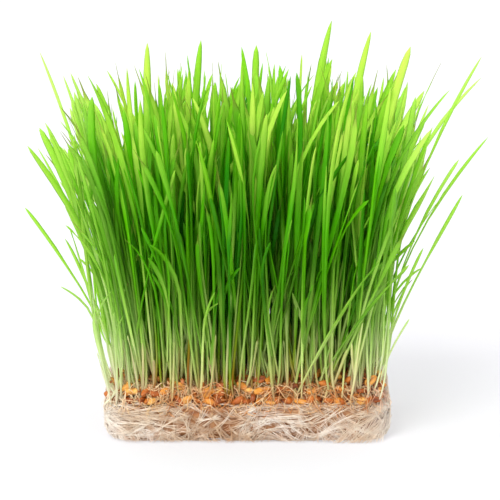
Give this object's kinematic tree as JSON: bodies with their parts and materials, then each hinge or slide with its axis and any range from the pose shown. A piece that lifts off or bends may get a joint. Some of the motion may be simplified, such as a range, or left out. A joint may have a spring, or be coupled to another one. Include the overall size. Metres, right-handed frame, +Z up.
{
  "type": "wheatgrass mat",
  "caption": "Rectangular felted root mat with sprouted wheat grains on top and a dense stand of green shoots that splays outwards.",
  "frame": {"origin": "middle of the root mat's flat underside", "axes": "+X along the mat's long side to the right, +Y to the back across its short side, +Z up along the shoots"},
  "size_m": [0.232, 0.1296, 0.203],
  "materials": {
    "roots": "matte felted fibres",
    "root_felt": "matte thin felt",
    "grains": "damp skin, satin",
    "shoots": "fresh leaf, satin with fine lengthwise veins"
  },
  "bodies": {
    "root": {"root_mat": "roots", "wall_felt_left": "root_felt", "wall_felt_right": "root_felt", "stray_left_low": "shoots", "stray_left_short": "shoots", "stray_left_outer": "shoots", "stray_left_middle": "shoots", "stray_left_high": "shoots", "stray_left_back": "shoots", "stray_right_foot": "shoots", "stray_right_short": "shoots", "stray_right_low": "shoots", "stray_right_middle": "shoots", "stray_right_outer": "shoots", "stray_right_back": "shoots", "stray_right_high": "shoots", "stray_right_arched": "shoots", "stray_front_crossing": "shoots", "stray_front_left": "shoots", "stray_front_middle": "shoots", "stray_front_right": "shoots", "stray_front_wide": "shoots", "loose_grain_1": "grains", "loose_grain_2": "grains", "loose_grain_3": "grains", "loose_grain_4": "grains", "loose_grain_5": "grains", "loose_grain_6": "grains", "loose_grain_7": "grains", "loose_grain_8": "grains", "tuft_front_1": "shoots", "tuft_front_2": "shoots", "tuft_front_3": "shoots", "tuft_front_4": "shoots", "tuft_front_5": "shoots", "tuft_front_6": "shoots", "tuft_front_7": "shoots", "tuft_mid_front_1": "shoots", "tuft_mid_front_2": "shoots", "tuft_mid_front_3": "shoots", "tuft_mid_front_4": "shoots", "tuft_mid_front_5": "shoots", "tuft_mid_front_6": "shoots", "tuft_mid_front_7": "shoots", "tuft_mid_back_1": "shoots", "tuft_mid_back_2": "shoots", "tuft_mid_back_3": "shoots", "tuft_mid_back_4": "shoots", "tuft_mid_back_5": "shoots", "tuft_mid_back_6": "shoots", "tuft_mid_back_7": "shoots", "tuft_back_1": "shoots", "tuft_back_2": "shoots", "tuft_back_3": "shoots", "tuft_back_4": "shoots", "tuft_back_5": "shoots", "tuft_back_6": "shoots", "tuft_back_7": "shoots"}
  },
  "joints": []
}
